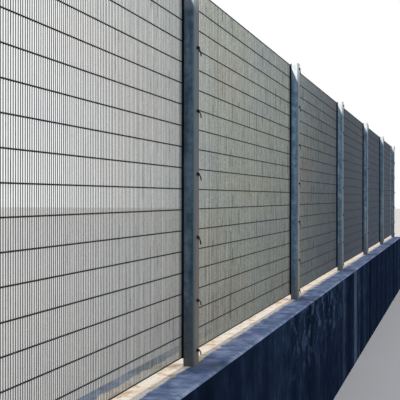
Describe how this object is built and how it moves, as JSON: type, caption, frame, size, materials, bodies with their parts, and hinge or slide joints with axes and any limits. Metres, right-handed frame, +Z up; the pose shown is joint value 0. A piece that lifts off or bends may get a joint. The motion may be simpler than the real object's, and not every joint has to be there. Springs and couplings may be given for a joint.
{
  "type": "anti-climb mesh security fence on a low wall",
  "caption": "Galvanised welded-mesh security fence: hollow posts, close mesh panels, clamp bars and rod hooks, standing on a stained low concrete wall.",
  "frame": {"origin": "centre of the wall's base, at ground level, under the fence's middle post", "axes": "+X along the fence, from the near end of the picture to the far end; +Y to the side behind the mesh; +Z up"},
  "size_m": [14.7, 0.3, 2.1936],
  "materials": {
    "wall_concrete": "rough, weather-stained concrete",
    "joint_filler": "matt, weathered",
    "galvanised_post": "mottled hot-dip galvanised, dulled",
    "mesh_wire": "dull galvanised wire",
    "clamp_steel": "dull galvanised flat bar",
    "packing_rubber": "matt black, weathered",
    "hook_steel": "dark weathered galvanised rod"
  },
  "bodies": {
    "root": {"wall_near": "wall_concrete", "wall_far": "wall_concrete", "wall_joint": "joint_filler", "post_1": "galvanised_post", "post_2": "galvanised_post", "post_3": "galvanised_post", "post_4": "galvanised_post", "post_5": "galvanised_post", "post_6": "galvanised_post", "post_7": "galvanised_post", "post_cap_1": "galvanised_post", "post_cap_2": "galvanised_post", "post_cap_3": "galvanised_post", "post_cap_4": "galvanised_post", "post_cap_5": "galvanised_post", "post_cap_6": "galvanised_post", "post_cap_7": "galvanised_post", "mesh_panel_1": "mesh_wire", "mesh_panel_2": "mesh_wire", "mesh_panel_3": "mesh_wire", "mesh_panel_4": "mesh_wire", "mesh_panel_5": "mesh_wire", "mesh_panel_6": "mesh_wire", "clamp_bar_1": "clamp_steel", "clamp_bar_2": "clamp_steel", "clamp_bar_3": "clamp_steel", "clamp_bar_4": "clamp_steel", "clamp_bar_5": "clamp_steel", "clamp_bar_6": "clamp_steel", "clamp_bar_7": "clamp_steel", "mesh_hooks_1": "hook_steel", "mesh_hooks_2": "hook_steel", "mesh_hooks_3": "hook_steel", "mesh_hooks_4": "hook_steel", "mesh_hooks_5": "hook_steel", "mesh_hooks_6": "hook_steel", "mesh_hooks_7": "hook_steel", "packing_strip_1": "packing_rubber", "packing_strip_2": "packing_rubber", "packing_strip_3": "packing_rubber", "packing_strip_4": "packing_rubber", "packing_strip_5": "packing_rubber", "packing_strip_6": "packing_rubber", "packing_strip_7": "packing_rubber"}
  },
  "joints": []
}
